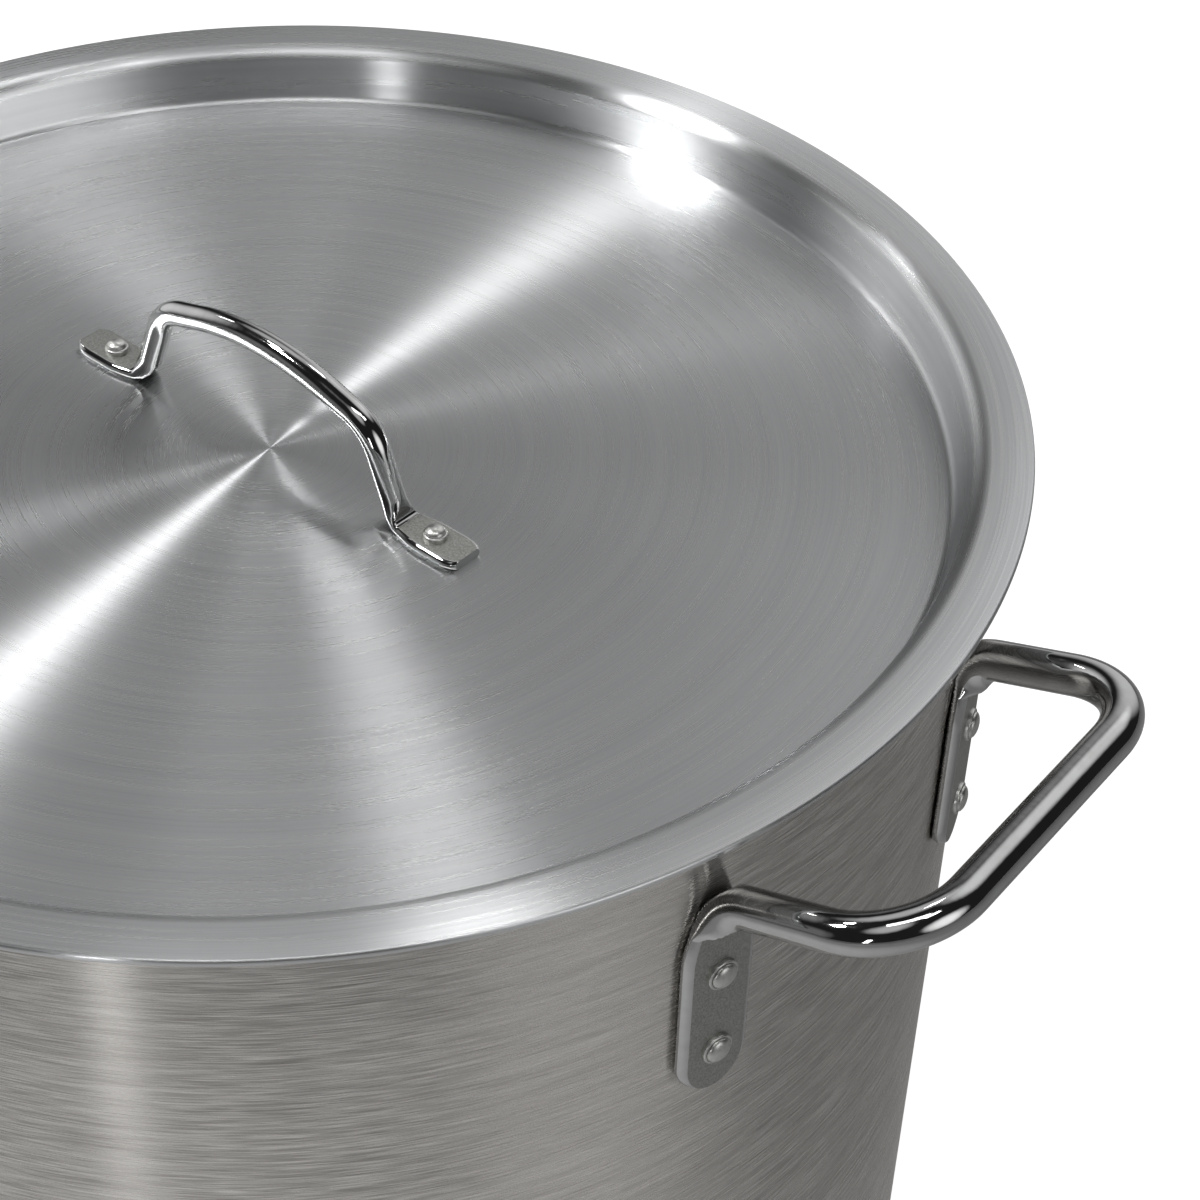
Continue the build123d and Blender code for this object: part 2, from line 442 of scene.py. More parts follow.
def loop_section(distance):
    """Width, front, back and bulge of the rod at a distance from the foot's tip."""
    past_foot = distance - foot_straight
    width = blend(FOOT_WIDTH, ROD, (past_foot + SHOULDER_START) / (bend_length + SHOULDER_START))
    half = FOOT_WIDTH / 2
    if distance < half:
        width = 2 * sqrt(half ** 2 - (half - distance) ** 2)
    front = step_up(FOOT_THICKNESS / 2, ROD / 2, past_foot / PRESS_LENGTH)
    back = blend(FOOT_THICKNESS / 2, ROD / 2, past_foot / bend_length)
    return width, front, back, blend(PRESSED_BULGE, 1, past_foot / bend_length)


def distances_along(tip, length, step, close=()):
    """Close together round the tip, then even to the end, with a few more where asked."""
    near = [tip * (1 - cos(pi / 2 * (k + 1) / TIP_RINGS)) for k in range(TIP_RINGS)]
    count = round((length - tip) / step)
    far = [tip + (length - tip) * (k + 1) / count for k in range(count)]
    return near + sorted(far + list(close))


foot_side = Vector((-sin(foot_angle), cos(foot_angle), 0))
loop_right = bridge_rod(
    "loop_right", loop_path, foot_side,
    distances_along(FOOT_WIDTH / 2, loop_length, LOOP_RING_STEP,
                    [foot_straight + k * PRESS_RING_STEP for k in range(PRESS_RINGS)]),
    loop_section)
mirror_rod(loop_right, "Y")
shade(loop_right, HANDLE_SHADE_ANGLE)

bpy.ops.object.duplicate()
loop_left = named("loop_left")
loop_left.data.transform(Matrix.Rotation(pi, 4, "Z"))
print(loop_left.name, "is", loop_right.name, "turned half round")

# %% [markdown]
# ## The lid's pull handle
#
# The pull is the same idea in 8 mm rod. Its feet are leaf shaped, widest beside the rivet
# and blunt at the end, and its necks lean inward up to a long flat arch that leaves room
# for four fingers. It is laid out along X, mirrored, and then turned a few degrees,
# because a loose round lid never lands exactly in line.

# %% Pull handle: sizes
PULL_ROD = 8 * MM
PULL_TURN = radians(-4)
PULL_TOP = 43 * MM
PULL_TOP_BEND = 98 * MM
PULL_SHOULDER = Vector((44.5 * MM, 0, 30 * MM))
PULL_SHOULDER_BEND = 16 * MM
PULL_NECK_REACH = 55.5 * MM
PULL_NECK_BEND = 5.5 * MM
PULL_FOOT_TIP = 83 * MM
PULL_FOOT_THICKNESS = 3.2 * MM
PULL_RIVET_REACH = 70 * MM
LEAF_WIDTH = 14.5 * MM
LEAF_END_WIDTH = 10 * MM
LEAF_LENGTH = 14 * MM
NECK_START = 25.5 * MM
NECK_END = 34 * MM
LEAF_BLUNTNESS = 7
PULL_TIP = 2 * MM
PULL_RING_STEP = 1 * MM
NECK_RING_STEP = 0.3 * MM
NECK_RINGS = 10


def leaf_width(distance):
    """Width of the foot and neck: blunt at the end, widest at the rivet, narrow at the neck."""
    if distance < LEAF_LENGTH:
        from_widest = 1 - distance / LEAF_LENGTH
        return LEAF_WIDTH - (LEAF_WIDTH - LEAF_END_WIDTH) * from_widest ** LEAF_BLUNTNESS
    return blend(LEAF_WIDTH, PULL_ROD, (distance - LEAF_LENGTH) / (NECK_END - LEAF_LENGTH))


def pull_section(distance):
    """Flat in the foot, stepping up to the round rod where the neck begins."""
    share = (distance - NECK_START) / (NECK_END - NECK_START)
    front = step_up(PULL_FOOT_THICKNESS / 2, PULL_ROD / 2, share)
    back = blend(PULL_FOOT_THICKNESS / 2, PULL_ROD / 2, share)
    return leaf_width(distance), front, back, blend(PRESSED_BULGE, 1, share)


# %% Pull handle: path and rings
foot_level = PULL_FOOT_THICKNESS / 2
pull_path = bent_path(
    [Vector((PULL_FOOT_TIP, 0, foot_level)),
     Vector((PULL_NECK_REACH, 0, foot_level)),
     PULL_SHOULDER,
     Vector((0, 0, PULL_TOP)),
     Vector((-PULL_SHOULDER.x, 0, PULL_SHOULDER.z))],
    [PULL_NECK_BEND, PULL_SHOULDER_BEND, PULL_TOP_BEND])
*before_top, top_bend, _ = [stretch.length for stretch in pull_path]
half_pull = sum(before_top) + top_bend / 2
pull_handle = bridge_rod(
    "pull_handle", pull_path, Vector((0, 1, 0)),
    distances_along(PULL_TIP, half_pull, PULL_RING_STEP,
                    [NECK_START + k * NECK_RING_STEP for k in range(NECK_RINGS)]),
    pull_section)
mirror_rod(pull_handle, "X")
shade(pull_handle, HANDLE_SHADE_ANGLE)
pull_handle.data.transform(
    Matrix.Translation((0, 0, panel_top)) @ Matrix.Rotation(PULL_TURN, 4, "Z"))
print("half a pull handle is", round(half_pull / MM), "mm of rod")

# %% [markdown]
# ## Rivets
#
# A rivet is a short turned form: a land that sits on the foot, a dome on top of it, a shank
# through the sheets and a spread tail inside. One is shaped from a cylinder by insets and
# extrusions, which shows each of those forms as one step. A dome made of a few insets keeps
# its rings even, where a cut sphere would have a pole.

# %% Rivet model
RIVET_SIDES = 64
LAND_ROUND_SHARE = 0.35
LAND_STEPS = 3
DOME_STEPS = 9
# A little under 1, so that the last inset leaves a tiny flat and not a pinched point.
DOME_CLOSING = 0.995
ON_AXIS = 0.1 * MM
RIVET_SHADE_ANGLE = 35


def dome_up(radius, height):
    """Inset and lift the selected top face along a quarter of an ellipse."""
    for k in range(DOME_STEPS):
        now, after = pi / 2 * k / DOME_STEPS, pi / 2 * (k + 1) / DOME_STEPS
        bpy.ops.mesh.inset(thickness=radius * (cos(now) - cos(after)) * DOME_CLOSING)
        bpy.ops.transform.translate(value=(0, 0, height * (sin(after) - sin(now))))


def push(distance):
    """Extrude the selected face straight up or down."""
    bpy.ops.mesh.extrude_region_move(TRANSFORM_OT_translate={"value": (0, 0, distance)})


def turn_rivet(name, head, land, groove, dome, dome_height, shank, grip, tail, tail_height):
    """A rivet standing on Z, with its seat at the origin."""
    land_round = land * LAND_ROUND_SHARE
    bpy.ops.object.select_all(action="DESELECT")
    bpy.ops.mesh.primitive_cylinder_add(
        vertices=RIVET_SIDES, radius=head / 2, depth=land, location=(0, 0, land / 2))
    rivet = named(name)
    bpy.ops.object.transform_apply()
    bpy.ops.object.mode_set(mode="EDIT")
    round_edge(rivet, ring_at(head / 2, land), land_round, LAND_STEPS)
    pick_faces(rivet, lambda centre, normal: normal.z > FACING and centre.xy.length < ON_AXIS)
    if groove:
        bpy.ops.mesh.inset(thickness=(head - dome) / 2 - land_round - groove)
        push(-groove)
        bpy.ops.mesh.inset(thickness=groove)
        push(groove)
    dome_up(dome / 2, dome_height)
    pick_faces(rivet, lambda centre, normal: normal.z < -FACING and centre.xy.length < ON_AXIS)
    bpy.ops.mesh.inset(thickness=(head - shank) / 2)
    push(-grip)
    push(0)
    spread = tail / shank
    bpy.ops.transform.resize(value=(spread, spread, 1), center_override=(0, 0, 0))
    push(-tail_height / 2)
    bpy.ops.mesh.inset(thickness=tail_height)
    bpy.ops.transform.translate(value=(0, 0, -tail_height / 2))
    bpy.ops.mesh.select_all(action="SELECT")
    bpy.ops.mesh.normals_make_consistent(inside=False)
    shade(rivet, RIVET_SHADE_ANGLE)
    return rivet


body_rivet = turn_rivet(
    "body_rivet", head=10 * MM, land=1.3 * MM, groove=0.25 * MM, dome=8.2 * MM,
    dome_height=1.8 * MM, shank=6 * MM, grip=FOOT_THICKNESS + POT_WALL, tail=9 * MM,
    tail_height=1.6 * MM)
pull_rivet = turn_rivet(
    "pull_rivet", head=7.6 * MM, land=1.6 * MM, groove=0, dome=6.4 * MM,
    dome_height=2 * MM, shank=5 * MM, grip=PULL_FOOT_THICKNESS + LID_SHEET, tail=8 * MM,
    tail_height=1.5 * MM)


# %% [markdown]
# ### Rivets in their places
#
# Two rivets go through each foot on the wall, and one through each foot on the lid. Linked
# copies would share one mesh, but each piece here carries its own, because its place is set
# inside the mesh and the object stays at the origin.


# %% Rivets in their places
def place_copy(model, name, matrix):
    """A copy with its own mesh, set in place inside that mesh."""
    copy = bpy.data.objects.new(name, model.data.copy())
    copy.data.name = name
    bpy.context.collection.objects.link(copy)
    copy.data.transform(matrix)
    return copy


face_radius = pot_radius + FOOT_THICKNESS
foot_angles = {
    "right_back": foot_angle, "right_front": -foot_angle,
    "left_back": pi - foot_angle, "left_front": pi + foot_angle}
body_rivets = {}
for foot_name, angle in foot_angles.items():
    for level, height in {"upper": upper_rivet, "lower": lower_rivet}.items():
        place = Matrix.Rotation(angle, 4, "Z") @ Matrix.Translation((face_radius, 0, height))
        facing = place @ Matrix.Rotation(pi / 2, 4, "Y")
        body_rivets[f"body_rivet_{foot_name}_{level}"] = place_copy(
            body_rivet, f"rivet_{foot_name}_{level}", facing)

pull_rivets = {}
for side_name, side in {"left": -1, "right": 1}.items():
    place = Matrix.Rotation(PULL_TURN, 4, "Z") @ Matrix.Translation(
        (side * PULL_RIVET_REACH, 0, panel_top + PULL_FOOT_THICKNESS))
    pull_rivets[f"lid_rivet_{side_name}"] = place_copy(pull_rivet, f"pull_rivet_{side_name}", place)
for model in (body_rivet, pull_rivet):
    bpy.data.objects.remove(model)
print("rivets", len(body_rivets), "in the wall,", len(pull_rivets), "in the lid")


# %% [markdown]
# ## Materials from nodes
#
# Every finish here is metal, so each material is one Principled shader whose colour,
# roughness and relief come from noise read on the Object coordinate. Painted images would
# need the pieces unwrapped, while noise fits any shape. These helpers add one kind of node
# each and return its output.


# %% Node helpers
def new_material(name):
    """An empty node material with a Principled shader, and its nodes and links."""
    material = bpy.data.materials.new(name)
    material.use_nodes = True
    nodes = material.node_tree.nodes
    return material, nodes, material.node_tree.links, nodes["Principled BSDF"]


def add(tree_nodes, kind, **settings):
    """A node of one kind with its properties set."""
    node = tree_nodes.new(kind)
    for key, value in settings.items():
        setattr(node, key, value)
    return node


def maths(nodes, links, operation, *values):
    """A Math node fed by numbers or by sockets. Returns its output."""
    node = add(nodes, "ShaderNodeMath", operation=operation)
    for socket, value in zip(node.inputs, values):
        if isinstance(value, (int, float)):
            socket.default_value = value
        else:
            links.new(value, socket)
    return node.outputs[0]


def spread_out(nodes, links, value, low, high, to_low, to_high):
    """Map a value from one range to another. Returns the output."""
    node = add(nodes, "ShaderNodeMapRange")
    node.inputs["From Min"].default_value = low
    node.inputs["From Max"].default_value = high
    node.inputs["To Min"].default_value = to_low
    node.inputs["To Max"].default_value = to_high
    links.new(value, node.inputs["Value"])
    return node.outputs["Result"]


def noise(nodes, links, vector, scale, detail=2.0, roughness=0.5):
    """A noise pattern on a coordinate. Returns its output."""
    node = add(nodes, "ShaderNodeTexNoise")
    node.inputs["Scale"].default_value = scale
    node.inputs["Detail"].default_value = detail
    node.inputs["Roughness"].default_value = roughness
    links.new(vector, node.inputs["Vector"])
    return node.outputs["Fac"]


def mix_colour(nodes, links, share, low, high):
    """Blend two colours by a value. Returns the output."""
    node = add(nodes, "ShaderNodeMix", data_type="RGBA")
    node.inputs["A"].default_value = (*low, 1)
    node.inputs["B"].default_value = (*high, 1)
    links.new(share, node.inputs["Factor"])
    return node.outputs["Result"]


def add_relief(nodes, links, shader, height, strength, distance):
    """Let a height tilt the shading, as small hollows and ridges would."""
    relief = add(nodes, "ShaderNodeBump")
    relief.inputs["Strength"].default_value = strength
    relief.inputs["Distance"].default_value = distance
    links.new(height, relief.inputs["Height"])
    links.new(relief.outputs["Normal"], shader.inputs["Normal"])


# %% [markdown]
# ## Grain that both aluminium surfaces share
#
# Brushing and spinning leave the same mark: fine lines that run a long way one way and
# change quickly the other way. A noise pattern read through squeezed coordinates makes such
# lines, so one node group turns a coordinate into grain, and each material lays that
# coordinate its own way. The group gives fine lines, and broad ones for slow changes.


# %% Group: metal grain
def make_group(name, inputs, outputs):
    """A shader node group with named float or vector sockets."""
    group = bpy.data.node_groups.new(name, "ShaderNodeTree")
    for label, kind, value in inputs:
        socket = group.interface.new_socket(label, in_out="INPUT", socket_type=kind)
        if value is not None:
            socket.default_value = value
    for label in outputs:
        group.interface.new_socket(label, in_out="OUTPUT", socket_type="NodeSocketFloat")
    return group, group.nodes.new("NodeGroupInput"), group.nodes.new("NodeGroupOutput")


def place_group(nodes, links, group, **inputs):
    """Put a group in a material, fed by numbers or by sockets. Returns its outputs."""
    node = add(nodes, "ShaderNodeGroup", node_tree=group)
    for label, value in inputs.items():
        if isinstance(value, (int, float)):
            node.inputs[label].default_value = value
        else:
            links.new(value, node.inputs[label])
    return node.outputs


# The coordinate is scaled before the noise reads it, so the noise itself scales nothing.
UNSCALED = 1.0
# How much slower the broad lines change than the fine ones: along X, along Y and across.
BROAD_SLOWING = (0.35, 0.35, 0.15)

grain, grain_in, grain_out = make_group(
    "metal_grain",
    [("Across", "NodeSocketFloat", None), ("Along", "NodeSocketVector", None),
     ("Lines", "NodeSocketFloat", 1500.0), ("Run", "NodeSocketFloat", 12.0)],
    ["Fine", "Broad"])
squeezed = maths(grain.nodes, grain.links, "MULTIPLY",
                 grain_in.outputs["Across"], grain_in.outputs["Lines"])
run = add(grain.nodes, "ShaderNodeVectorMath", operation="SCALE")
grain.links.new(grain_in.outputs["Along"], run.inputs[0])
grain.links.new(grain_in.outputs["Run"], run.inputs["Scale"])
parts = add(grain.nodes, "ShaderNodeSeparateXYZ")
grain.links.new(run.outputs[0], parts.inputs[0])
laid = add(grain.nodes, "ShaderNodeCombineXYZ")
grain.links.new(parts.outputs["X"], laid.inputs["X"])
grain.links.new(parts.outputs["Y"], laid.inputs["Y"])
grain.links.new(squeezed, laid.inputs["Z"])
fine = noise(grain.nodes, grain.links, laid.outputs[0], UNSCALED, detail=1.5, roughness=0.6)
slow = add(grain.nodes, "ShaderNodeVectorMath", operation="MULTIPLY")
slow.inputs[1].default_value = BROAD_SLOWING
grain.links.new(laid.outputs[0], slow.inputs[0])
broad = noise(grain.nodes, grain.links, slow.outputs[0], UNSCALED)
grain.links.new(fine, grain_out.inputs["Fine"])
grain.links.new(broad, grain_out.inputs["Broad"])
print("group", grain.name, "with", len(grain.nodes), "nodes")


# %% [markdown]
# ## Brushed wall and spun lid
#
# The wall is brushed while the pot turns, and the lid is spun while a tool is led from its
# middle to its edge. Both leave grooves that run round the axis. Such grooves spread light
# across themselves only, which is what the shader's Anisotropic setting does, with a radial
# tangent to say which way round is. Modelled grooves would take millions of faces. The wall's
# lines are counted along Z and the lid's along the radius, and only the wall's are deep
# enough to show one by one.

# %% Materials: brushed wall and spun lid
FINE_SHARE = 0.7
BROAD_SHARE = 0.3
NOISE_LOW = 0.3
NOISE_HIGH = 0.7
GROOVE_DEPTH = 0.05 * MM
QUARTER_TURN = 0.25


def object_place(nodes, links):
    """The Object coordinate, its three parts and the distance from the pot's axis."""
    place = add(nodes, "ShaderNodeTexCoord").outputs["Object"]
    xyz = add(nodes, "ShaderNodeSeparateXYZ")
    links.new(place, xyz.inputs[0])
    square = maths(nodes, links, "ADD",
                   maths(nodes, links, "MULTIPLY", xyz.outputs["X"], xyz.outputs["X"]),
                   maths(nodes, links, "MULTIPLY", xyz.outputs["Y"], xyz.outputs["Y"]))
    return place, xyz.outputs, maths(nodes, links, "SQRT", square)


def grained_metal(name, concentric, lines, run_scale, colours, colour_spread, rough, bump):
    """Aluminium with its grain running round the pot's axis, on the wall or on the lid."""
    material, nodes, links, shader = new_material(name)
    place, xyz, radius = object_place(nodes, links)
    across = radius if concentric else xyz["Z"]
    laid = place_group(
        nodes, links, grain, Across=across, Along=place, Lines=lines, Run=run_scale)
    fine = laid["Fine"]
    both = maths(nodes, links, "ADD",
                 maths(nodes, links, "MULTIPLY", fine, FINE_SHARE),
                 maths(nodes, links, "MULTIPLY", laid["Broad"], BROAD_SHARE))
    share = spread_out(nodes, links, both, 0.5 - colour_spread, 0.5 + colour_spread, 0, 1)
    links.new(mix_colour(nodes, links, share, *colours), shader.inputs["Base Color"])
    links.new(spread_out(nodes, links, fine, NOISE_LOW, NOISE_HIGH, *rough),
              shader.inputs["Roughness"])
    add_relief(nodes, links, shader, fine, bump, GROOVE_DEPTH)
    shader.inputs["Metallic"].default_value = 1
    shader.inputs["Anisotropic"].default_value = 1
    shader.inputs["Anisotropic Rotation"].default_value = QUARTER_TURN
    round_axis = add(nodes, "ShaderNodeTangent", direction_type="RADIAL", axis="Z")
    links.new(round_axis.outputs["Tangent"], shader.inputs["Tangent"])
    return material


wall_metal = grained_metal(
    "brushed_wall", concentric=False, lines=2300, run_scale=70,
    colours=((0.42, 0.40, 0.38), (0.86, 0.835, 0.80)), colour_spread=0.25,
    rough=(0.34, 0.22), bump=0.35)
lid_metal = grained_metal(
    "spun_lid", concentric=True, lines=1400, run_scale=11,
    colours=((0.565, 0.575, 0.585), (0.71, 0.715, 0.72)), colour_spread=0.25,
    rough=(0.30, 0.265), bump=0.085)
print("grained", wall_metal.name, "and", lid_metal.name)

# %% [markdown]
# ## Plated rod
#
# The rod is bright steel with a hard plating, which mirrors the room almost perfectly. A
# perfect mirror looks drawn, so the roughness drifts a little, as a film of handling makes
# it, and a weak, slow relief bends the reflections as the bent rod does.

# %% Material: plated rod
FILM_SCALE = 160
WAVE_SCALE = 320
WAVE_STRENGTH = 0.25
WAVE_DEPTH = 0.1 * MM

plating, nodes, links, shader = new_material("plated_rod")
place = add(nodes, "ShaderNodeTexCoord").outputs["Object"]
film = noise(nodes, links, place, FILM_SCALE, detail=4)
links.new(mix_colour(nodes, links, film, (0.42, 0.42, 0.41), (0.56, 0.565, 0.57)),
          shader.inputs["Base Color"])
links.new(spread_out(nodes, links, film, low=0.35, high=0.75, to_low=0.03, to_high=0.09),
          shader.inputs["Roughness"])
waves = noise(nodes, links, place, WAVE_SCALE, detail=1)
add_relief(nodes, links, shader, waves, WAVE_STRENGTH, WAVE_DEPTH)
shader.inputs["Metallic"].default_value = 1
print("plated", plating.name)

# %% [markdown]
# ## Pressed faces and rivets
#
# The die leaves the flat of each foot dull and finely pitted, and the rivets come from a
# tumbling drum with a soft, uneven skin. Both are the same effect at two sizes: one pattern
# darkens the metal, roughens it and pits it in the same places. So the pattern is a second
# node group, and one function makes both materials round it.

# %% Group: fine pits
pits, pits_in, pits_out = make_group(
    "fine_pits",
    [("Vector", "NodeSocketVector", None), ("Scale", "NodeSocketFloat", 1000.0),
     ("Detail", "NodeSocketFloat", 3.0), ("Roughness", "NodeSocketFloat", 0.6)],
    ["Pits"])
speckle = add(pits.nodes, "ShaderNodeTexNoise")
for label in ("Vector", "Scale", "Detail", "Roughness"):
    pits.links.new(pits_in.outputs[label], speckle.inputs[label])
pits.links.new(speckle.outputs["Fac"], pits_out.inputs["Pits"])
print("group", pits.name, "with", len(pits.nodes), "nodes")

# %% Materials: pressed faces and rivets
PIT_DEPTH = 0.1 * MM


def pitted_metal(name, scale, detail, roughness, colours, colour_range, rough, bump):
    """Dull metal with fine pits. Over the range the pattern goes from colour to colour."""
    material, nodes, links, shader = new_material(name)
    place = add(nodes, "ShaderNodeTexCoord").outputs["Object"]
    pitted = place_group(
        nodes, links, pits, Vector=place, Scale=scale, Detail=detail, Roughness=roughness)["Pits"]
    share = spread_out(nodes, links, pitted, *colour_range, 0, 1)
    links.new(mix_colour(nodes, links, share, *colours), shader.inputs["Base Color"])
    links.new(spread_out(nodes, links, pitted, NOISE_LOW, NOISE_HIGH, *rough),
              shader.inputs["Roughness"])
    add_relief(nodes, links, shader, pitted, bump, PIT_DEPTH)
    shader.inputs["Metallic"].default_value = 1
    return material


pressed_face = pitted_metal(
    "pressed_face", scale=1500, detail=3, roughness=0.7,
    colours=((0.26, 0.265, 0.245), (0.44, 0.445, 0.425)), colour_range=(0.35, 0.65),
    rough=(0.42, 0.55), bump=0.5)
rivet_skin = pitted_metal(
    "rivet_skin", scale=900, detail=4, roughness=0.6,
    colours=((0.42, 0.42, 0.40), (0.72, 0.72, 0.70)), colour_range=(0, 1),
    rough=(0.28, 0.42), bump=0.4)
print("pitted", pressed_face.name, "and", rivet_skin.name)

# %% [markdown]
# ## Dull only where the die touched
#
# Only the face of a foot that the die pressed is dull, and the rest of the handle is bright.
# The handle could be cut in two pieces for that, but it is one bar, so it keeps one mesh
# with a second material on the faces that look squarely out of a foot.

# %% Dull the pressed faces
FACING_SQUARELY = 0.995
FACE_SLACK = 0.1 * MM


def dull_faces(piece, test):
    """Give the picked faces of a handle the pressed finish, as its second material."""
    piece.data.materials.append(plating)
    piece.data.materials.append(pressed_face)
    only(piece)
    bpy.ops.object.mode_set(mode="EDIT")
    pick_faces(piece, test)
    piece.active_material_index = 1
    bpy.ops.object.material_slot_assign()
    bpy.ops.object.mode_set(mode="OBJECT")
    dull = sum(face.material_index == 1 for face in piece.data.polygons)
    print(piece.name, dull, "dull faces")


def faces_out(centre, normal):
    """On the front of one of the four feet that stand against the wall."""
    ways = [Vector((cos(angle), sin(angle), 0)) for angle in foot_angles.values()]
    return centre.z < foot_bottom + foot_straight + FACE_SLACK and any(
        normal.dot(way) > FACING_SQUARELY and centre.dot(way) > pot_radius for way in ways)


def faces_up(centre, normal):
    """On the top of one of the two feet that lie on the lid."""
    return (normal.z > FACING_SQUARELY
            and centre.z < panel_top + PULL_FOOT_THICKNESS + FACE_SLACK)


dull_faces(loop_right, faces_out)
dull_faces(loop_left, faces_out)
dull_faces(pull_handle, faces_up)

# %% [markdown]
# ## Bodies and nodes
#
# Each piece now gets its material and the body it moves with, and the plain solid it stands for is
# hidden. The lid's disc, pull handle and two rivets ride on the lid, which lifts straight off. All
# the rest stays with the pot.

# %% Give out the materials and bodies
dressed = [
    (pot_shell, wall_metal, "pot", "pot_body", "brushed_wall"),
    (loop_right, plating, "pot", "loop_handle_right", "plated_rod"),
    (loop_left, plating, "pot", "loop_handle_left", "plated_rod"),
    (lid_disc, lid_metal, "lid", "lid", "spun_lid"),
    (pull_handle, plating, "lid", "lid_handle", "plated_rod"),
]
dressed += [(piece, rivet_skin, "pot", node, "rivet") for node, piece in body_rivets.items()]
dressed += [(piece, rivet_skin, "lid", node, "rivet") for node, piece in pull_rivets.items()]
for piece, material, body, node, slot in dressed:
    if not piece.data.materials:
        piece.data.materials.append(material)
    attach(piece, body)
    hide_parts(node)
print("dressed", len(dressed), "pieces")

# %% [markdown]
# ## The studio
#
# Metal shows what is round it, so the room matters as much as the finish. This one is dim,
# with broad soft patches of light in it and a few small, strong lamps. Grained metal turns
# each lamp into a fan of light across the lid and an upright band on the wall, so where the
# lamps stand decides the whole look. The camera itself sees plain white behind the pot,
# because the floor and the room answer camera rays and all other rays differently.

# %% Floor
FLOOR_SIZE = 30
# To all rays but the camera's, the floor carries a painted pool of light: it glows most round a
# point in front of the pot and fades to a faint glow further out. The wall and the loop handles
# show it in their reflections.
FLOOR_DROP = 0.5 * MM
PAINTED_LIGHT_POOL_CENTRE = (0.1, -0.35, 0)
PAINTED_LIGHT_POOL_REACH = (0.2, 0.75)
PAINTED_LIGHT_POOL_GLOW = (0.3, 0.03)
FLOOR_SEEN = 0.9

bpy.ops.object.select_all(action="DESELECT")
bpy.ops.mesh.primitive_plane_add(size=FLOOR_SIZE, location=(0, 0, -FLOOR_DROP))
floor = named("floor")

floor_paint, nodes, links, shader = new_material("floor_paint")
shader.inputs["Base Color"].default_value = (0.3, 0.3, 0.3, 1)
shader.inputs["Roughness"].default_value = 0.9
shader.inputs["Emission Color"].default_value = (1, 1, 1, 1)
# Painted pool of light on the floor, for all rays but the camera's: the glow fades with the
# distance from its centre.
away = add(nodes, "ShaderNodeVectorMath", operation="DISTANCE")
away.inputs[1].default_value = PAINTED_LIGHT_POOL_CENTRE
links.new(add(nodes, "ShaderNodeTexCoord").outputs["Object"], away.inputs[0])
painted_pool = spread_out(nodes, links, away.outputs["Value"], *PAINTED_LIGHT_POOL_REACH, *PAINTED_LIGHT_POOL_GLOW)
strength = add(nodes, "ShaderNodeMix", data_type="FLOAT")
strength.inputs["B"].default_value = FLOOR_SEEN
links.new(add(nodes, "ShaderNodeLightPath").outputs["Is Camera Ray"], strength.inputs["Factor"])
links.new(painted_pool, strength.inputs["A"])
links.new(strength.outputs["Result"], shader.inputs["Emission Strength"])
floor.data.materials.append(floor_paint)
print("floor", FLOOR_SIZE, "m square")

# %% [markdown]
# ### The room
#
# The room is the World: a direction goes in and a brightness comes out, so a patch of light
# is a smooth spot round one direction. That stands in for windows and pale walls without
# building any, and a spot can be moved by changing two angles.

# %% Room
ROOM_DIMNESS = 0.02
# Azimuth and elevation of the middle, the angles from it where the patch starts to fade and
# where it ends, all in degrees, and the brightness.
PATCHES = {
    "behind_left_high": (145, 56, 2, 21, 0.7),
    "behind_low": (105, 15, 3, 35, 0.8),
    "behind_high": (84, 50, 3, 28, 1.0),
    "left_low": (182, 12, 3, 34, 1.0),
    "front_left_low": (232, 5, 3, 22, 0.2),
    "right_low": (-6, 19, 3, 26, 1.6),
    "front_high": (-78, 57, 3, 22, 0.7),
}


def direction_of(azimuth, elevation):
    """The direction at a compass angle and a height angle, both in degrees."""
    turn, rise = radians(azimuth), radians(elevation)
    return Vector((cos(turn) * cos(rise), sin(turn) * cos(rise), sin(rise)))


def glow(nodes, links, towards, azimuth, elevation, inner, outer, strength):
    """A soft round patch of light in one direction, from full at inner to nothing at outer."""
    nearness = add(nodes, "ShaderNodeVectorMath", operation="DOT_PRODUCT")
    nearness.inputs[1].default_value = direction_of(azimuth, elevation)
    links.new(towards, nearness.inputs[0])
    patch = add(nodes, "ShaderNodeMapRange", interpolation_type="SMOOTHSTEP")
    patch.inputs["From Min"].default_value = cos(radians(outer))
    patch.inputs["From Max"].default_value = cos(radians(inner))
    patch.inputs["To Max"].default_value = strength
    links.new(nearness.outputs["Value"], patch.inputs["Value"])
    return patch.outputs["Result"]


room = bpy.data.worlds.new("room")
bpy.context.scene.world = room
room.use_nodes = True
nodes, links = room.node_tree.nodes, room.node_tree.links
sky = nodes["Background"]
towards = add(nodes, "ShaderNodeTexCoord").outputs["Generated"]
brightness = ROOM_DIMNESS
for patch in PATCHES.values():
    brightness = maths(nodes, links, "ADD", brightness, glow(nodes, links, towards, *patch))
seen = add(nodes, "ShaderNodeLightPath").outputs["Is Camera Ray"]
colour = add(nodes, "ShaderNodeMix", data_type="RGBA")
links.new(seen, colour.inputs["Factor"])
links.new(brightness, colour.inputs["A"])
colour.inputs["B"].default_value = (1, 1, 1, 1)
links.new(colour.outputs["Result"], sky.inputs["Color"])
bpy.context.scene.view_settings.view_transform = "Standard"
print("room with", len(PATCHES), "patches of light")

# %% [markdown]
# ### The lamps
#
# Each lamp is a small area light that looks at the middle of the rim. Its place in the sky
# sets where its fan falls on the lid, its width sets how wide the fan is, and its brightness
# is given for each square metre, so a lamp can change size and stay as bright to look at.
# Point lights would give fans with no width at all.

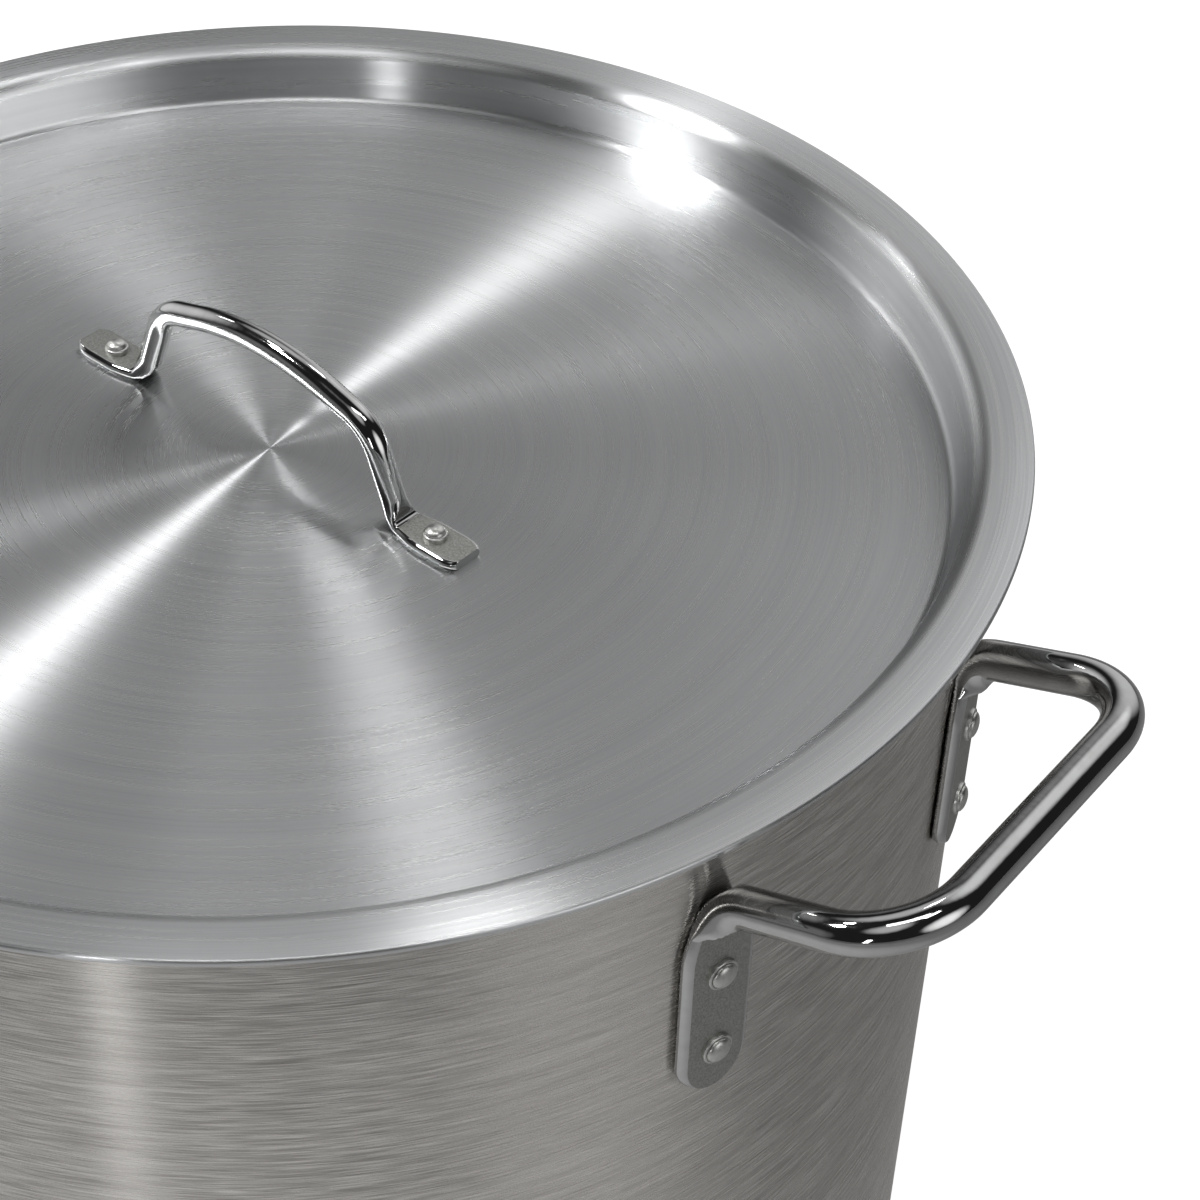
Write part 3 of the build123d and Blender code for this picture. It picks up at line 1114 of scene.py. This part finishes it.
# %% Lamps
LAMP_CENTRE = Vector((0, 0, rim_height))
LAMP_DISTANCE = 2.5
# Azimuth and elevation in degrees, width and height in metres, and brightness.
LAMPS = {
    "lamp_left": (219, 50, (0.34, 0.32), 105),
    "lamp_left_high": (193, 58, (0.25, 0.2), 24),
    "lamp_back": (170, 38, (0.08, 0.3), 20),
    "lamp_front_high": (-8, 65, (0.55, 0.3), 6),
    "lamp_back_high": (119, 64, (0.25, 0.25), 11),
    "lamp_front": (-50, 74, (1.2, 0.5), 4),
    "lamp_low": (-70, 5, (0.2, 0.6), 9),
}


def add_lamp(name, azimuth, elevation, size, brightness):
    """An area light that looks at the rim's middle from a compass angle and a height angle."""
    away = direction_of(azimuth, elevation)
    bpy.ops.object.light_add(type="AREA", location=LAMP_CENTRE + away * LAMP_DISTANCE)
    lamp = bpy.context.object
    lamp.name = name
    lamp.data.shape = "RECTANGLE"
    lamp.data.size, lamp.data.size_y = size
    lamp.data.energy = brightness * pi * size[0] * size[1]
    lamp.rotation_euler = away.to_track_quat("Z", "Y").to_euler()
    print(name, round(lamp.data.energy, 1), "W")


for name, settings in LAMPS.items():
    add_lamp(name, *settings)

# %% [markdown]
# ## The camera
#
# It looks down on the lid the way a cook does who is about to lift it, a little less than a
# metre away. A long lens keeps the circles from looking stretched, and shifting the lens
# moves the frame over the lid and one loop handle without turning the camera.

# %% Camera
CAMERA_PLACE = (0.4783, -0.4867, 0.8839)
CAMERA_TURN = 38.56
CAMERA_LOOKS_DOWN = 42.17
CAMERA_LENS = 82.7
SENSOR_WIDTH = 36
CAMERA_SHIFT = 0.083

bpy.ops.object.camera_add(
    location=CAMERA_PLACE,
    rotation=(radians(90 - CAMERA_LOOKS_DOWN), 0, radians(CAMERA_TURN)))
camera = bpy.context.object
camera.data.lens = CAMERA_LENS
camera.data.sensor_width = SENSOR_WIDTH
camera.data.shift_x = CAMERA_SHIFT
camera.data.shift_y = CAMERA_SHIFT
print("camera", round((Vector(CAMERA_PLACE) - LAMP_CENTRE).length, 2), "m from the rim's middle")
bpy.context.scene.camera = camera
